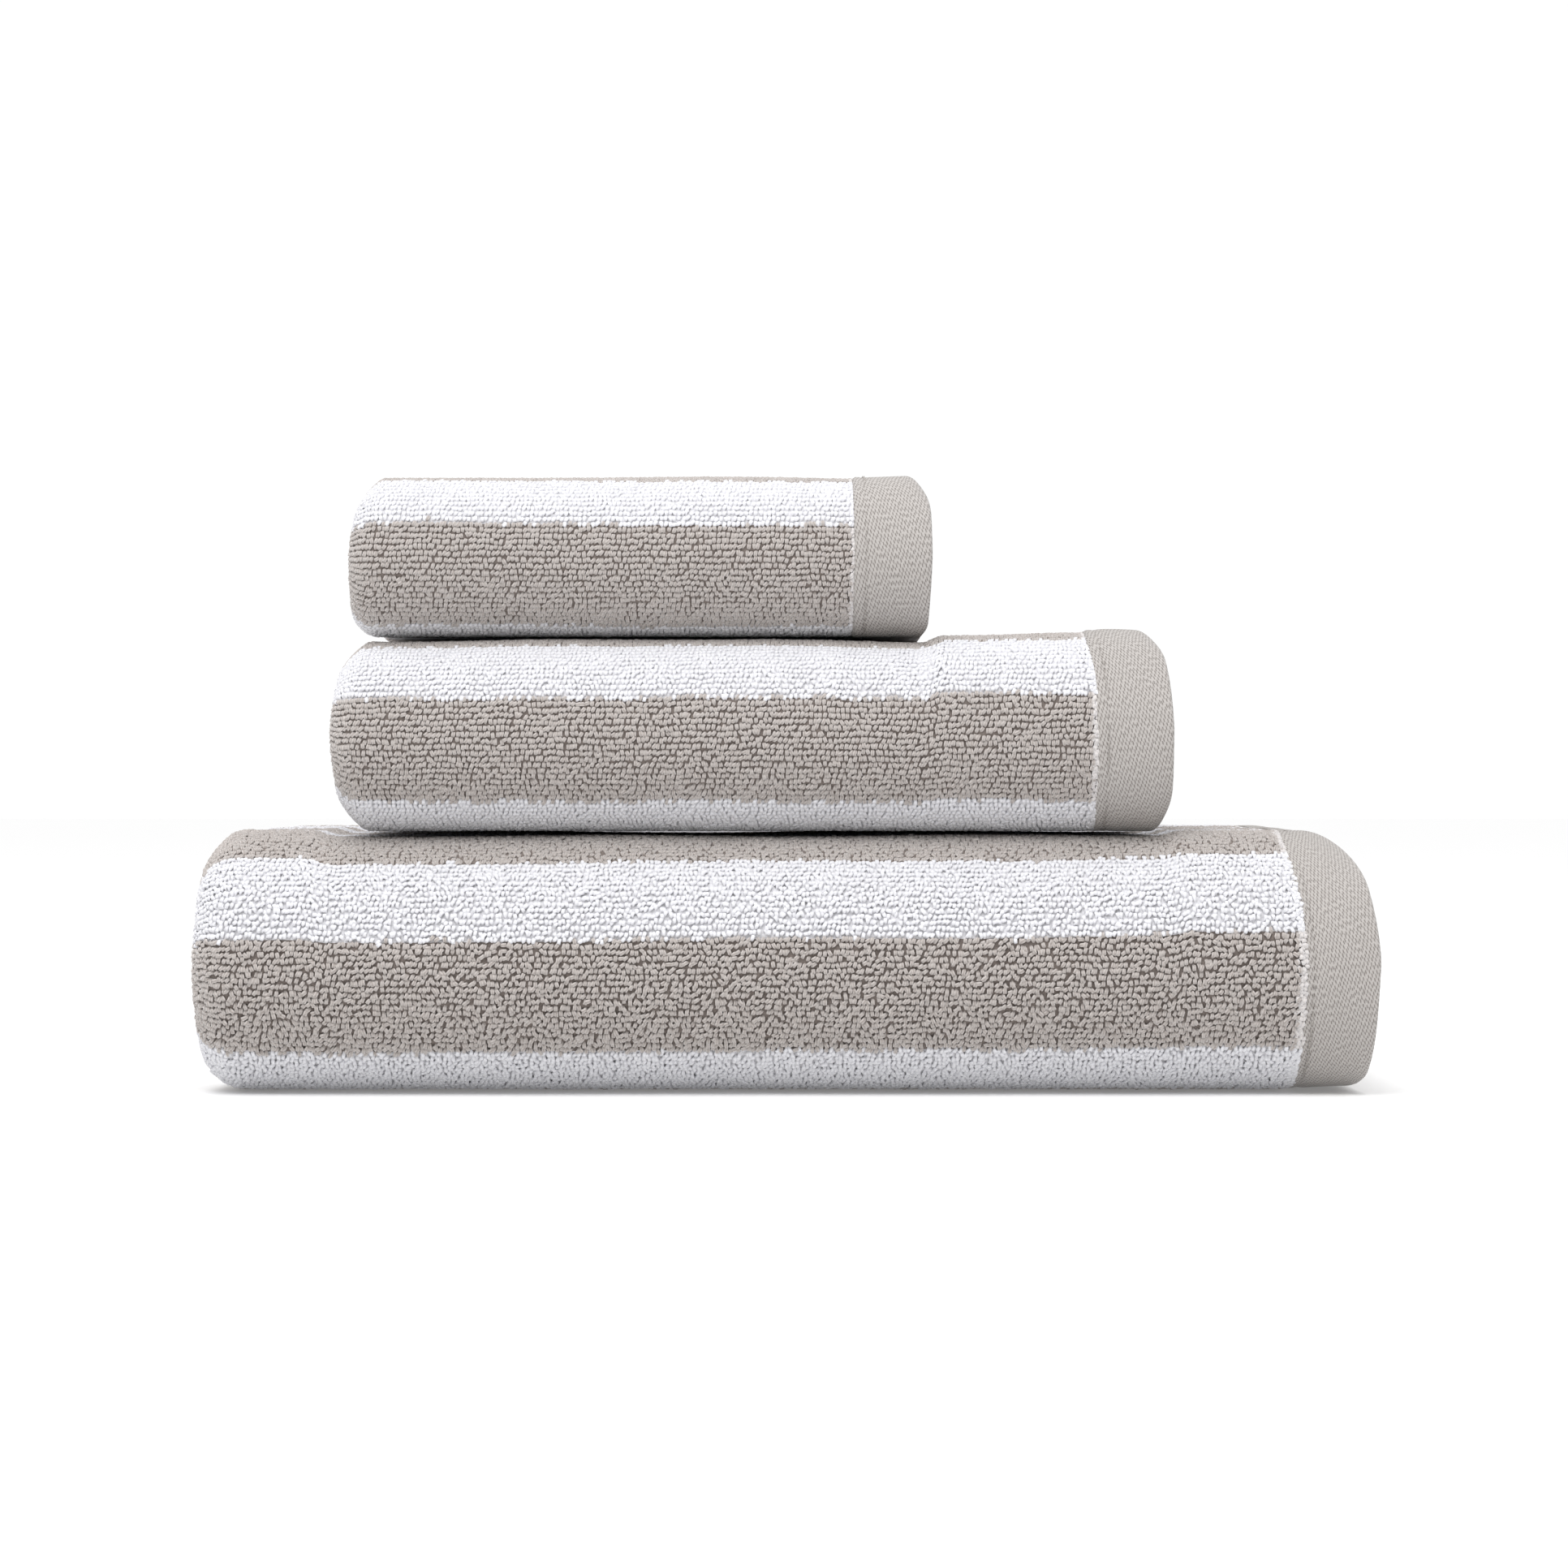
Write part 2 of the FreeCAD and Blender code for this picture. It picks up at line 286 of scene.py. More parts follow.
class Towel:
    """One folded towel, measured from its CAD nodes."""

    def __init__(self, name, above, seed):
        self.name = name
        self.above = above
        self.seed = seed
        self.body = f"{name}_towel"
        self.grey, self.white, self.grey_lead, self.skew = STRIPES[name]
        self.pile, self.unruly = PILE[name]
        low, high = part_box(f"{name}_terry_cloth")
        hem_low, hem_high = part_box(f"{name}_outer_end_hem")
        _, inner_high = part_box(f"{name}_inner_end_hem")
        side_low, side_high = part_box(f"{name}_top_side_hem")
        tucked_low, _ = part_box(f"{name}_tucked_side_hem")

        self.base_z = low.z
        self.height = high.z - low.z
        self.pack = side_high.z - side_low.z
        self.panel_gap = (self.height - 3 * self.pack) / 2
        self.pitch = hem_high.z - inner_high.z
        self.layer = self.pack - 3 * self.pitch
        self.hem_depth = high.z - hem_high.z
        self.hem_thickness = self.layer - 2 * self.hem_depth
        self.side_hem = side_high.y - side_low.y

        self.left_x = low.x
        self.right_x = hem_high.x
        self.inner_right_x = inner_high.x
        self.hem_x = hem_low.x
        self.left_fold_x = low.x + self.pack / 2
        self.right_fold_x = high.x - (self.pitch + self.layer) / 2

        self.front_radius = self.height / 2
        self.back_radius = self.pack + self.panel_gap / 2
        self.front_y = low.y
        self.front_fold_y = low.y + self.front_radius
        self.back_fold_y = high.y - self.back_radius
        self.top_edge_y = side_high.y
        self.tucked_edge_y = tucked_low.y

        self.to_front = self.top_edge_y - self.front_fold_y
        self.past_front = self.to_front + math.pi * self.front_radius
        self.to_back = self.past_front + self.back_fold_y - self.front_fold_y
        self.past_back = self.to_back + math.pi * self.back_radius
        self.full_width = self.past_back + self.back_fold_y - self.tucked_edge_y
        self.grey_start = self.to_front + math.pi / 2 * self.front_radius - self.grey_lead
        self.set_out_layers()

    def set_out_layers(self):
        """The runs and folds of the cloth through the pack. A run is (start x, direction, depth);
        a fold is (centre x, centre depth, radius, side along x, side along depth, facing out)."""
        depth = [self.layer / 2 + i * self.pitch for i in range(4)]
        outer_run = self.hem_x - self.left_fold_x
        inner_run = self.right_fold_x - self.left_fold_x
        middle = self.pack / 2
        right_middle = (depth[2] + depth[3]) / 2
        self.courses = [
            (outer_run, "run", (self.hem_x, -1, depth[0])),
            (math.pi * 1.5 * self.pitch, "fold",
             (self.left_fold_x, middle, 1.5 * self.pitch, -1, -1, 1)),
            (inner_run, "run", (self.left_fold_x, 1, depth[3])),
            (math.pi * self.pitch / 2, "fold",
             (self.right_fold_x, right_middle, self.pitch / 2, 1, 1, 1)),
            (inner_run, "run", (self.right_fold_x, -1, depth[2])),
            (math.pi * self.pitch / 2, "fold",
             (self.left_fold_x, middle, self.pitch / 2, -1, 1, -1)),
            (outer_run, "run", (self.left_fold_x, 1, depth[1])),
        ]
        self.marks = np.cumsum([0] + [length for length, _, _ in self.courses])

    def past_grey_start(self, u, w):
        """How far across the cloth a place is from where the grey of the front begins."""
        outer_run = self.marks[1]
        return w - self.grey_start - self.skew * (np.minimum(u, outer_run) - outer_run / 2)

    def course(self, u):
        """x, depth and the direction the shown side faces, at places u along the cloth."""
        u = np.asarray(u, float)
        x, depth, face_x, face_depth = (np.zeros(u.shape) for _ in range(4))
        for i, (_, kind, facts) in enumerate(self.courses):
            first = i == 0
            last = i == len(self.courses) - 1
            here = (u >= self.marks[i]) | first
            here &= (u < self.marks[i + 1]) | last
            s = u[here] - self.marks[i]
            if kind == "run":
                start, direction, run_depth = facts
                x[here] = start + direction * s
                depth[here] = run_depth
                face_depth[here] = direction
                continue
            centre_x, centre_depth, radius, side_x, side_depth, facing = facts
            turn = s / radius
            x[here] = centre_x + side_x * radius * np.sin(turn)
            depth[here] = centre_depth + side_depth * radius * np.cos(turn)
            face_x[here] = facing * side_x * np.sin(turn)
            face_depth[here] = facing * side_depth * np.cos(turn)
        return x, depth, face_x, face_depth

    def carried(self, x, depth, w):
        """Takes places in the pack along the fold in thirds, then lets the bundle settle."""
        front_turn = np.clip((w - self.to_front) / self.front_radius, 0, math.pi)
        back_turn = np.clip((w - self.to_back) / self.back_radius, 0, math.pi)
        forward = np.minimum(w, self.to_front)
        rearward = np.clip(w - self.past_front, 0, None)
        inward = np.clip(w - self.past_back, 0, None)
        front = self.front_radius - depth
        back = self.back_radius - depth
        on_front = w < self.to_back
        front_y = self.top_edge_y - forward - front * np.sin(front_turn) + rearward
        back_y = self.back_fold_y + back * np.sin(back_turn) - inward
        y = np.where(on_front, front_y, back_y)
        front_z = self.front_radius + front * np.cos(front_turn)
        back_z = self.back_radius - back * np.cos(back_turn)
        z = np.where(on_front, front_z, back_z)
        return self.settled(x, y, z)

    def settled(self, x, y, z):
        """Rounds off the bundle's corners and makes its faces a little uneven."""
        reach = CORNERS[self.name]
        height = self.height
        right, left = self.right_x, self.left_x
        x, z = rounded_corner(x, z, (right, height), reach["top_right"])
        x, z = rounded_corner(x, height - z, (right, height), reach["bottom_right"])
        z = height - z
        x, z = rounded_corner(-x, z, (-left, height), reach["top_left"])
        x, z = rounded_corner(x, height - z, (-left, height), reach["bottom_left"])
        x = -x
        z = height - z
        x = self.drawn_in(x, z)
        share = z / height
        z = z + share * self.swell(x)
        much, length = UNEVEN_UP
        z = z + much * waves(x, y, length, self.seed) * share
        much, length = UNEVEN_BACK
        y = y + much * waves(x, z, length, self.seed + 1)
        much, length = UNEVEN_OUT
        out = much * waves(y, z, length, self.seed + 2)
        x = x + out * np.abs(x - (left + right) / 2) / (right - left)
        z = self.pressed(x, y, z)
        return np.stack([x, y, z + self.base_z], axis=-1)

    def pressed(self, x, y, z):
        """Flattens the cloth that something lies against: the floor, or the next towel."""
        z = np.maximum(z, FLOOR_CLEARANCE + PRESSED_SHARE * np.minimum(z, 0))
        if self.above is None:
            return z
        low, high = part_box(f"{self.above}_terry_cloth")
        covered = (x > low.x + PRESSED_FROM_LEFT) & (x < high.x - PRESSED_FROM_RIGHT)
        covered &= y > low.y + PRESSED_FROM_FRONT
        limit = self.height + TOWEL_CLEARANCE
        return np.where(covered & (z > limit), limit + PRESSED_SHARE * (z - limit), z)

    def drawn_in(self, x, z):
        """Pulls the ends of the bundle in towards its top and bottom."""
        middle = (self.left_x + self.right_x) / 2
        along = (x - middle) / (self.right_x - middle)
        up = 2 * z / self.height - 1
        steepness = np.abs(up) ** DRAWN_IN_CURVE
        for end, sign in (("right", 1), ("left", -1)):
            top, bottom = DRAWN_IN[self.name][end]
            pull = np.where(up > 0, top, bottom) * steepness
            x = x - sign * pull * np.clip(along * sign, 0, 1) ** 2
        return x

    def swell(self, x):
        """How far the top stands up beyond the ends of the towel that lies on it."""
        if self.above is None:
            return 0 * x
        low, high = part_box(f"{self.above}_terry_cloth")
        beyond = np.maximum(low.x - x, x - high.x) / SWELL_DISTANCE
        smooth = np.clip(beyond, 0, 1)
        return SWELL[self.name] * smooth * smooth * (3 - 2 * smooth)

    def placed(self, u, w, lift):
        """The points of the towel at (u, w, lift)."""
        x, depth, face_x, face_depth = self.course(u)
        return self.carried(x + lift * face_x, depth + lift * face_depth, w)

    def on_top(self, w):
        """1 where the cloth lies on top of the bundle, fading to 0 down its front."""
        turn = (w - self.to_front) / self.front_radius
        start, slope = TOP_FADE
        return np.clip(start - slope * turn, 0, 1)

    def outside_scale(self, u):
        """How much of the cloth's middle goes to each length of its shown side."""
        u = np.asarray(u, float)
        scale = np.ones(u.shape)
        for i, (_, kind, facts) in enumerate(self.courses):
            if kind == "run":
                continue
            radius, facing = facts[2], facts[5]
            if facing > 0:
                here = (u >= self.marks[i]) & (u < self.marks[i + 1])
                scale[here] = radius / (radius + self.layer / 2)
        return scale

    def stations_along(self):
        """Places u for the cloth's mesh: even steps on the runs and finer ones on the folds."""
        found = [0.0]
        for i, (length, kind, _) in enumerate(self.courses):
            steps = FOLD_STEPS if kind == "fold" else max(2, round(length / STRAIGHT_STEP))
            found += list(self.marks[i] + length * np.arange(1, steps + 1) / steps)
        return np.array(found)

    def stations_across(self, start, end):
        """Places w between two limits, the same way."""
        marks = [self.to_front, self.past_front, self.to_back, self.past_back]
        marks = [start] + [m for m in marks if start < m < end] + [end]
        found = [start]
        for low, high in zip(marks, marks[1:]):
            middle = (low + high) / 2
            on_front = self.to_front < middle < self.past_front
            on_back = self.to_back < middle < self.past_back
            step = STRAIGHT_STEP * (BENT_STEP_SHARE if on_front or on_back else 1.0)
            steps = max(2, round((high - low) / step))
            found += list(low + (high - low) * np.arange(1, steps + 1) / steps)
        return np.array(found)


# ---------------------------------------------------------------------------------------------
# Meshes


def made_piece(name, towel, points, quads, material, slot, place, **values):
    """A smooth mesh of quads, riding on its towel. Place is each point's (u, w) on the cloth, or
    (x, w) on an end hem. Values are more numbers for each point, for its material."""
    mesh = bpy.data.meshes.new(name)
    points = np.ascontiguousarray(points.reshape(-1, 3), np.float32)
    mesh.vertices.add(len(points))
    mesh.vertices.foreach_set("co", points.ravel())
    mesh.loops.add(quads.size)
    mesh.loops.foreach_set("vertex_index", np.ascontiguousarray(quads, np.int32).ravel())
    mesh.polygons.add(len(quads))
    mesh.polygons.foreach_set("loop_start", np.arange(0, quads.size, 4, dtype=np.int32))
    mesh.update(calc_edges=True)
    mesh.shade_smooth()
    u, w = (np.asarray(p, float).ravel() for p in place)
    cloth = np.stack([u, towel.past_grey_start(u, w), np.zeros(len(u))], axis=-1)
    kept = mesh.attributes.new("cloth", "FLOAT_VECTOR", "POINT")
    kept.data.foreach_set("vector", cloth.astype(np.float32).ravel())
    for key, value in values.items():
        kept = mesh.attributes.new(key, "FLOAT", "POINT")
        kept.data.foreach_set("value", np.asarray(value, np.float32).ravel())
    mesh.materials.append(material)
    piece = bpy.data.objects.new(name, mesh)
    bpy.context.scene.collection.objects.link(piece)
    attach(piece, towel.body)
    return piece


def two_sided_quads(rows, columns):
    """Faces that join a shown grid and a hidden grid of points, rows x columns each, into one
    closed sheet. The hidden grid's points follow the shown grid's."""
    index = np.arange(rows * columns).reshape(rows, columns)
    hidden = index + rows * columns
    shown_faces = np.stack(
        [index[:-1, :-1], index[:-1, 1:], index[1:, 1:], index[1:, :-1]], axis=-1
    ).reshape(-1, 4)
    hidden_faces = np.stack(
        [hidden[:-1, :-1], hidden[1:, :-1], hidden[1:, 1:], hidden[:-1, 1:]], axis=-1
    ).reshape(-1, 4)
    rims = []
    for edge, far in ((index[0], hidden[0]), (index[-1][::-1], hidden[-1][::-1]),
                      (index[::-1, 0], hidden[::-1, 0]), (index[:, -1], hidden[:, -1])):
        rims.append(np.stack([edge[:-1], far[:-1], far[1:], edge[1:]], axis=-1))
    return np.concatenate([shown_faces, hidden_faces] + rims)


def tubes(paths, across, radius, groove=0.0):
    """Points round lengths of yarn that follow paths (yarns x points x 3). Across is a direction
    for each one that is roughly square to it, and radius is given for each point of a path. The
    closed side faces across x heading, and a groove can run along it."""
    heading = np.gradient(paths, axis=1)
    heading /= np.linalg.norm(heading, axis=-1, keepdims=True)
    upward = np.cross(across[:, None, :], heading)
    upward /= np.linalg.norm(upward, axis=-1, keepdims=True)
    sideways = np.cross(upward, heading)
    turn = np.radians(YARN_ANGLES)
    beside, above = np.sin(turn), np.cos(turn)
    above[len(turn) // 2] -= groove
    ring = (
        beside[None, None, :, None] * sideways[:, :, None, :]
        + above[None, None, :, None] * upward[:, :, None, :]
    )
    return paths[:, :, None, :] + ring * radius[None, :, None, None]


def tube_quads(count, points, sides):
    """Faces of the yarn made by tubes()."""
    index = np.arange(count * points * sides).reshape(count, points, sides)
    near, far = index[:, :-1, :], index[:, 1:, :]
    faces = [near[:, :, :-1], far[:, :, :-1], far[:, :, 1:], near[:, :, 1:]]
    return np.stack(faces, axis=-1).reshape(-1, 4)


# ---------------------------------------------------------------------------------------------
# Materials


def node(tree, kind, inputs=(), **settings):
    """A shader node. An input is a number or colour, or the socket that feeds it."""
    made = tree.nodes.new(kind)
    for key, value in settings.items():
        setattr(made, key, value)
    for key, value in dict(inputs).items():
        if isinstance(value, bpy.types.NodeSocket):
            tree.links.new(value, made.inputs[key])
        else:
            made.inputs[key].default_value = value
    return made


def maths(tree, operation, *values):
    """The result of one sum on numbers or sockets."""
    return node(tree, "ShaderNodeMath", enumerate(values), operation=operation).outputs[0]


def mixed(tree, share, first, second):
    """A colour between two colours."""
    inputs = {"Factor": share, "A": first, "B": second}
    made = tree.nodes.new("ShaderNodeMix")
    made.data_type = "RGBA"
    for key, value in inputs.items():
        socket = next(s for s in made.inputs if s.name == key and s.enabled)
        if isinstance(value, bpy.types.NodeSocket):
            tree.links.new(value, socket)
        elif key == "Factor":
            socket.default_value = value
        else:
            socket.default_value = (*value, 1)
    return next(s for s in made.outputs if s.enabled)


def new_material(name, colour, roughness, sheen):
    """A cloth material whose plain colour stands for it where nodes can't go."""
    material = bpy.data.materials.new(name)
    material.use_nodes = True
    tree = material.node_tree
    shader = tree.nodes["Principled BSDF"]
    shader.inputs["Base Color"].default_value = (*colour, 1)
    shader.inputs["Roughness"].default_value = roughness
    shader.inputs["Sheen Weight"].default_value = sheen
    shader.inputs["Sheen Roughness"].default_value = 0.5
    shader.inputs["Specular IOR Level"].default_value = 0.2
    material.diffuse_color = (*colour, 1)
    return material, tree, shader


def cloth_places(tree):
    """The cloth's own coordinates: u, w from the start of a grey stripe."""
    kept = node(tree, "ShaderNodeAttribute", attribute_name="cloth")
    apart = node(tree, "ShaderNodeSeparateXYZ", {"Vector": kept.outputs["Vector"]})
    return kept.outputs["Vector"], apart.outputs["X"], apart.outputs["Y"]


def average(first, second):
    """The colour halfway between two colours."""
    return tuple((a + b) / 2 for a, b in zip(first, second))


def ground_material(towel):
    """The cloth that the loops are woven into, striped, with a short nap of its own. Its colours
    are
    painted shade: darker than the loops' yarn, as it lies in shade between them. The side hems are
    of the same cloth, in the same darker colours."""
    material, tree, shader = new_material(
        f"{towel.name}_terry_ground", average(GREY_TIP, WHITE_TIP), 0.95, 0.15
    )
    place, _, across = cloth_places(tree)
    period = towel.grey + towel.white
    phase = maths(tree, "FLOORED_MODULO", across, period)
    is_white = maths(tree, "GREATER_THAN", phase, towel.grey)
    nap = node(tree, "ShaderNodeTexNoise", {"Vector": place, "Scale": 620.0, "Detail": 3.0})
    # Painted shade: the cloth between the loops is darker than their yarn; the nap noise varies
    # it.
    grey = mixed(tree, nap.outputs["Fac"], GREY_GROUND_SHADE, GREY_ROOT_SHADE)
    white = mixed(tree, nap.outputs["Fac"], WHITE_GROUND_SHADE, WHITE_ROOT_SHADE)
    tree.links.new(mixed(tree, is_white, grey, white), shader.inputs["Base Color"])
    bumps = node(tree, "ShaderNodeTexVoronoi", {"Vector": place, "Scale": 640.0})
    lumps = node(
        tree,
        "ShaderNodeBump",
        {"Strength": 0.8, "Distance": 0.001, "Height": bumps.outputs["Distance"]},
    )
    tree.links.new(lumps.outputs["Normal"], shader.inputs["Normal"])
    return material


def pile_material(name, root_shade, tip, spread):
    """Cotton loops, light at the tips, with painted shade: darker towards the root and in their
    opening. Each loop also has its own tone at random, and spread is how much darker the darkest
    tone is."""
    material, tree, shader = new_material(name, average(tip, average(tip, root_shade)), 0.9, 0.5)
    height = node(tree, "ShaderNodeAttribute", attribute_name="tip").outputs["Fac"]
    shade = node(tree, "ShaderNodeAttribute", attribute_name="shade").outputs["Fac"]
    # Painted shade: each loop darkens from its tip towards its root.
    deep = mixed(tree, height, root_shade, tip)
    # Painted shade along the opening between the loop's two sides.
    opening_shade = node(tree, "ShaderNodeAttribute", attribute_name="opening_shade").outputs["Fac"]
    deep = mixed(tree, maths(tree, "MULTIPLY", opening_shade, OPENING_SHADE), deep, root_shade)
    darker = tuple(c * (1 - spread) for c in tip)
    place, _, _ = cloth_places(tree)
    fibres = node(tree, "ShaderNodeTexNoise", {"Vector": place, "Scale": 2600.0, "Detail": 2.0})
    speckle = maths(tree, "SUBTRACT", fibres.outputs["Fac"], 0.35)
    uneven = maths(tree, "MULTIPLY_ADD", shade, 0.45, speckle)
    own_shade = mixed(tree, uneven, deep, darker)
    tree.links.new(own_shade, shader.inputs["Base Color"])
    return material


def weave_material():
    """The flat-woven hems: a satin twill whose short floats lean a little from the hem's line. The
    slits between the floats are darkened with painted shade.
    """
    material, tree, shader = new_material(
        "flat_weave", average(BAND_LIGHT, average(BAND_LIGHT, BAND_DARK)), 0.75, 0.2
    )
    place, along, across = cloth_places(tree)
    leaned = maths(tree, "MULTIPLY_ADD", across, FLOAT_SLANT, along)
    wobble = node(tree, "ShaderNodeTexNoise", {"Vector": place, "Scale": 220.0, "Detail": 2.0})
    stray = FLOAT_PITCH * FLOAT_WOBBLE
    leaned = maths(tree, "MULTIPLY_ADD", wobble.outputs["Fac"], stray, leaned)
    column = maths(tree, "DIVIDE", leaned, FLOAT_PITCH)
    number = maths(tree, "ROUND", column)
    own_x = maths(tree, "MULTIPLY", number, FLOAT_VARIETY)
    own_y = maths(tree, "MULTIPLY", across, FLOAT_DRIFT)
    own_line = node(tree, "ShaderNodeCombineXYZ", {"X": own_x, "Y": own_y})
    drift = node(
        tree, "ShaderNodeTexNoise", {"Vector": own_line.outputs[0], "Scale": 1.0, "Detail": 1.0}
    )
    start = maths(tree, "MULTIPLY_ADD", number, FLOAT_STAGGER, drift.outputs["Fac"])
    row = maths(tree, "ADD", maths(tree, "DIVIDE", across, FLOAT_LENGTH), start)
    from_slit = maths(tree, "MULTIPLY", maths(tree, "PINGPONG", column, 0.5), 2.0)
    in_slit = maths(tree, "POWER", maths(tree, "SUBTRACT", 1.0, from_slit), SLIT_SHARPNESS)
    reach = maths(tree, "SUBTRACT", maths(tree, "PINGPONG", row, 0.5), SLIT_GAP)
    open_here = maths(tree, "MULTIPLY", reach, SLIT_STEEPNESS)
    open_here.node.use_clamp = True
    slit = maths(tree, "MULTIPLY", in_slit, open_here)
    height = maths(tree, "SUBTRACT", 1.0, slit)
    uneven = node(tree, "ShaderNodeTexNoise", {"Vector": place, "Scale": 700.0, "Detail": 2.0})
    speckle = maths(tree, "SUBTRACT", uneven.outputs["Fac"], 0.5)
    shown = maths(tree, "MULTIPLY_ADD", speckle, 0.5, height)
    # Painted shade: the slits darken towards BAND_DARK; the speckle is the yarn's own uneven tone.
    colour = mixed(tree, shown, BAND_DARK, BAND_LIGHT)
    tree.links.new(colour, shader.inputs["Base Color"])
    relief = node(
        tree, "ShaderNodeBump", {"Strength": 0.55, "Distance": 0.0003, "Height": height}
    )
    tree.links.new(relief.outputs["Normal"], shader.inputs["Normal"])
    return material


def thread_material():
    """Sewing thread, twisted from two plies, with painted shade along the grooves of its twist."""
    material, tree, shader = new_material("sewing_thread", THREAD_COLOUR, 0.6, 0.1)
    _, along, across = cloth_places(tree)
    turn = maths(tree, "MULTIPLY", maths(tree, "ADD", along, across), THREAD_TWIST)
    twist = maths(tree, "SINE", turn)
    share = maths(tree, "MULTIPLY_ADD", twist, 0.25, 0.5)
    # Painted shade: darker along the grooves between the plies.
    darker = tuple(c * 0.8 for c in THREAD_COLOUR)
    tree.links.new(mixed(tree, share, darker, THREAD_COLOUR), shader.inputs["Base Color"])
    return material


# ---------------------------------------------------------------------------------------------
# The pieces of a towel


def shown_lift(towel, u):
    """How far the ground of the cloth's shown side stands out. On the outer layer, the large
    left fold and the small right fold it is low, to leave room for loops. On the other layers it
    is nearly as high as the pile."""
    outer_end = towel.marks[2]
    fold_start, fold_end = towel.marks[3], towel.marks[4]
    from_outer = np.clip((u - outer_end) / GROUND_FADE, 0, 1)
    to_fold = np.clip((fold_start - u) / GROUND_FADE, 0, 1)
    from_fold = np.clip((u - fold_end) / GROUND_FADE, 0, 1)
    hidden = np.minimum(from_outer, np.maximum(to_fold, from_fold))
    low = towel.layer / 2 - towel.pile
    high = towel.layer / 2 - FUZZ
    return low + (high - low) * hidden


def terry_cloth(towel, material):
    """The whole terry sheet between its hems, folded."""
    u = towel.stations_along()
    w = towel.stations_across(towel.side_hem, towel.full_width - towel.side_hem)
    u_grid, w_grid = np.meshgrid(u, w, indexing="ij")
    shown = towel.placed(u_grid, w_grid, shown_lift(towel, u_grid))
    hidden = towel.placed(u_grid, w_grid, np.full(u_grid.shape, FUZZ - towel.layer / 2))
    points = np.concatenate([shown.reshape(-1, 3), hidden.reshape(-1, 3)])
    place = (np.tile(u_grid.ravel(), 2), np.tile(w_grid.ravel(), 2))
    quads = two_sided_quads(len(u), len(w))
    piece = made_piece(f"{towel.name}_cloth", towel, points, quads, material, "terry", place)
    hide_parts(f"{towel.name}_terry_cloth")
    return piece


def end_hem(towel, which, depth, right_x, material):
    """A flat-woven end hem, with a rounded fold at the edge and a groove under its stitches."""
    radius = towel.hem_thickness / 2
    flat = np.linspace(towel.hem_x - HEM_OVERLAP, right_x - radius, 20)
    turn = np.linspace(*HEM_EDGE_TURN, HEM_EDGE_STEPS)
    x = np.concatenate([flat, right_x - radius + radius * np.sin(turn)])
    from_middle = np.concatenate([np.full(len(flat), radius), radius * np.cos(turn)])
    groove = SEAM_DEPTH * np.exp(-(((x - towel.hem_x - SEAM_INSET) / SEAM_WIDTH) ** 2))
    tuck = np.clip((towel.hem_x - x) / HEM_OVERLAP, 0, 1) * HEM_TUCK
    w = towel.stations_across(0.0, towel.full_width)
    x_grid, w_grid = np.meshgrid(x, w, indexing="ij")
    much, length = HEM_RIPPLE
    ripple = much * waves(x_grid, w_grid, length, towel.seed + 3)
    middle = depth + radius + ripple
    outer = towel.carried(x_grid, middle - (from_middle - groove - tuck)[:, None], w_grid)
    inner = towel.carried(x_grid, middle + from_middle[:, None], w_grid)
    points = np.concatenate([outer.reshape(-1, 3), inner.reshape(-1, 3)])
    place = (np.tile(x_grid.ravel(), 2), np.tile(w_grid.ravel(), 2))
    quads = two_sided_quads(len(x), len(w))[:, ::-1]
    name = f"{towel.name}_{which}_end_band"
    piece = made_piece(name, towel, points, quads, material, "flat_weave", place)
    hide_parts(f"{towel.name}_{which}_end_hem")
    return piece


def side_hem(towel, which, edge, inward, material):
    """The narrow hem along one long side of the cloth: turned under and sewn, so its free edge
    is round. Edge is its w, and inward the sign of w that leads into the cloth."""
    radius = towel.layer / 2 - SIDE_SINK
    turn = np.linspace(*HEM_EDGE_TURN[::-1], HEM_EDGE_STEPS)
    flat = np.linspace(radius, towel.side_hem + SIDE_OVERLAP, 7)
    across = edge + inward * np.concatenate([radius - radius * np.sin(turn), flat])
    lift = np.concatenate([radius * np.cos(turn), np.full(len(flat), radius)])
    from_seam = (across - edge) * inward - SIDE_SEAM_INSET
    seam = SIDE_SEAM_DEPTH * np.exp(-(from_seam / SIDE_SEAM_WIDTH) ** 2)
    u = towel.stations_along()
    u_grid, w_grid = np.meshgrid(u, across, indexing="ij")
    shown = towel.placed(u_grid, w_grid, np.broadcast_to(lift - seam, u_grid.shape))
    hidden = towel.placed(u_grid, w_grid, np.broadcast_to(-lift, u_grid.shape))
    points = np.concatenate([shown.reshape(-1, 3), hidden.reshape(-1, 3)])
    place = (np.tile(u_grid.ravel(), 2), np.tile(w_grid.ravel(), 2))
    quads = two_sided_quads(len(u), len(across))
    if inward < 0:
        quads = quads[:, ::-1]
    name = f"{towel.name}_{which}_side_edge"
    piece = made_piece(name, towel, points, quads, material, "terry_hem", place)
    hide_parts(f"{towel.name}_{which}_side_hem")
    return piece


def stitch_tubes(count):
    """Points round stitches that dip into the cloth at both ends, each from its own start, as
    (along, beside, lift). Their open side faces outwards."""
    along = STITCH_LENGTH * np.array(STITCH_ALONG)
    lift = np.array(STITCH_LIFT)
    path = np.stack([along, np.zeros(len(lift)), lift], axis=-1)
    paths = np.broadcast_to(path, (count, len(lift), 3))
    beside = np.broadcast_to(np.array([0.0, 1.0, 0.0]), (count, 3))
    return tubes(paths, beside, np.full(len(lift), STITCH_RADIUS))


